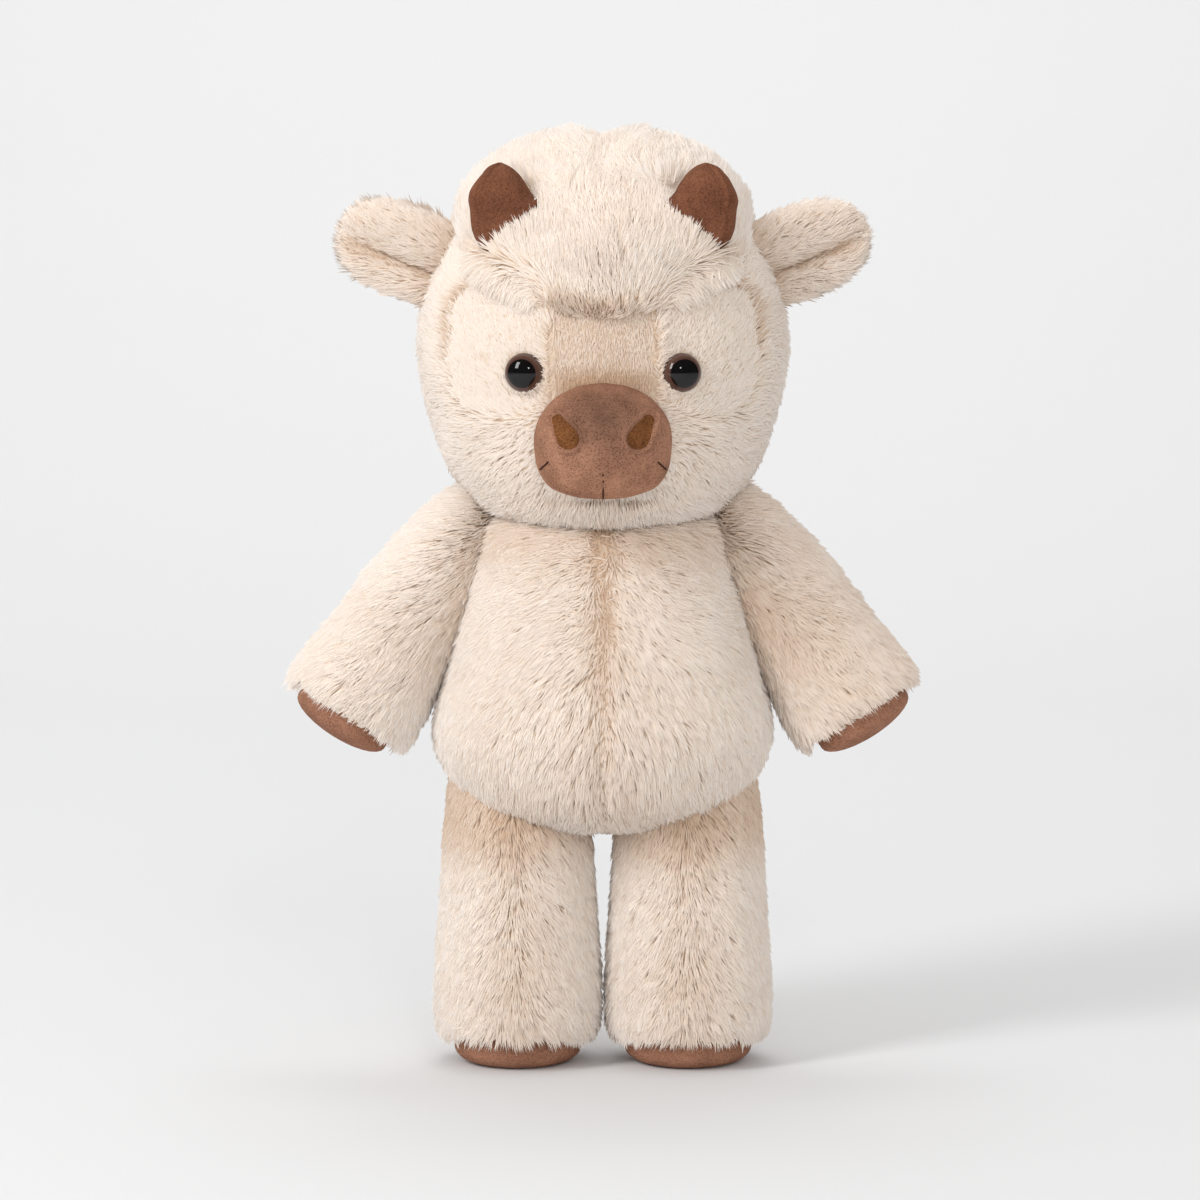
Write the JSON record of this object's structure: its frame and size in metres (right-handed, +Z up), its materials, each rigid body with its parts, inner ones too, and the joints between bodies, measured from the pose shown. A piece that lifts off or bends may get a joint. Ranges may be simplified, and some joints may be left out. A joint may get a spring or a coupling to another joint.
{
  "type": "plush cow",
  "caption": "Standing stuffed cow of long cream plush with suede muzzle, horns, hand and sole pads, a shaggy forelock and glossy safety eyes.",
  "frame": {"origin": "on the floor under the middle of the whole toy's bounding box", "axes": "+Z up; the toy faces -Y; +X is the toy's own left"},
  "size_m": [0.2324, 0.1451, 0.3468],
  "materials": {
    "plush": "long-pile plush",
    "short_plush": "short-pile plush",
    "suede": "brushed suede cloth",
    "fibrefill": "loose polyester fibre",
    "thread": "embroidery thread",
    "pellet_bag": "woven bag of pellets",
    "eye_plastic": "polished",
    "washer_plastic": "moulded"
  },
  "bodies": {
    "torso": {"torso_skin": "plush", "torso_filling": "fibrefill"},
    "head": {"head_skin": "plush", "head_filling": "fibrefill", "forelock": "plush", "left_eye_patch": "short_plush", "right_eye_patch": "short_plush", "nose_bridge": "short_plush", "left_eye": "eye_plastic", "right_eye": "eye_plastic", "left_eye_washer": "washer_plastic", "right_eye_washer": "washer_plastic", "muzzle_skin": "suede", "muzzle_filling": "fibrefill", "left_nostril": "thread", "right_nostril": "thread", "left_lip_stitch": "thread", "right_lip_stitch": "thread", "chin_stitch": "thread", "left_horn_skin": "suede", "right_horn_skin": "suede", "left_horn_filling": "fibrefill", "right_horn_filling": "fibrefill"},
    "left_ear": {"left_ear_lining": "plush", "left_ear_back": "plush"},
    "right_ear": {"right_ear_lining": "plush", "right_ear_back": "plush"},
    "left_arm": {"left_arm_skin": "plush", "left_arm_filling": "fibrefill", "left_hand_pad": "suede"},
    "right_arm": {"right_arm_skin": "plush", "right_arm_filling": "fibrefill", "right_hand_pad": "suede"},
    "left_leg": {"left_leg_skin": "plush", "left_leg_filling": "fibrefill", "left_foot_pellet_bag": "pellet_bag", "left_sole_pad": "suede"},
    "right_leg": {"right_leg_skin": "plush", "right_leg_filling": "fibrefill", "right_foot_pellet_bag": "pellet_bag", "right_sole_pad": "suede"},
    "tail": {"tail": "plush"}
  },
  "joints": [
    {"name": "neck_turn", "type": "hinge", "parent": "torso", "child": "head", "pos_m": [0, 0.0105, 0.201], "axis": [0, 0, 1], "range_deg": [-30, 30], "stiffness_Nm_per_rad": 0.25},
    {"name": "left_shoulder_swing", "type": "hinge", "parent": "torso", "child": "left_arm", "pos_m": [0, 0.0105, 0.203], "axis": [-1, 0, 0], "range_deg": [-45, 70], "stiffness_Nm_per_rad": 0.06},
    {"name": "right_shoulder_swing", "type": "hinge", "parent": "torso", "child": "right_arm", "pos_m": [0, 0.0105, 0.203], "axis": [-1, 0, 0], "range_deg": [-45, 70], "stiffness_Nm_per_rad": 0.06},
    {"name": "left_hip_swing", "type": "hinge", "parent": "torso", "child": "left_leg", "pos_m": [0.0319, -0.0105, 0.093], "axis": [-1, 0, 0], "range_deg": [0, 70], "stiffness_Nm_per_rad": 0.5},
    {"name": "right_hip_swing", "type": "hinge", "parent": "torso", "child": "right_leg", "pos_m": [-0.0319, -0.0105, 0.093], "axis": [-1, 0, 0], "range_deg": [0, 70], "stiffness_Nm_per_rad": 0.5},
    {"name": "left_ear_flop", "type": "hinge", "parent": "head", "child": "left_ear", "pos_m": [0.0625, 0.0105, 0.293], "axis": [-0.3584, 0, 0.9336], "range_deg": [-30, 30], "stiffness_Nm_per_rad": 0.01},
    {"name": "right_ear_flop", "type": "hinge", "parent": "head", "child": "right_ear", "pos_m": [-0.0625, 0.0105, 0.293], "axis": [0.3584, 0, 0.9336], "range_deg": [-30, 30], "stiffness_Nm_per_rad": 0.01},
    {"name": "tail_swing", "type": "hinge", "parent": "torso", "child": "tail", "pos_m": [0, 0.058, 0.118], "axis": [0, 1, 0], "range_deg": [-60, 60]}
  ]
}
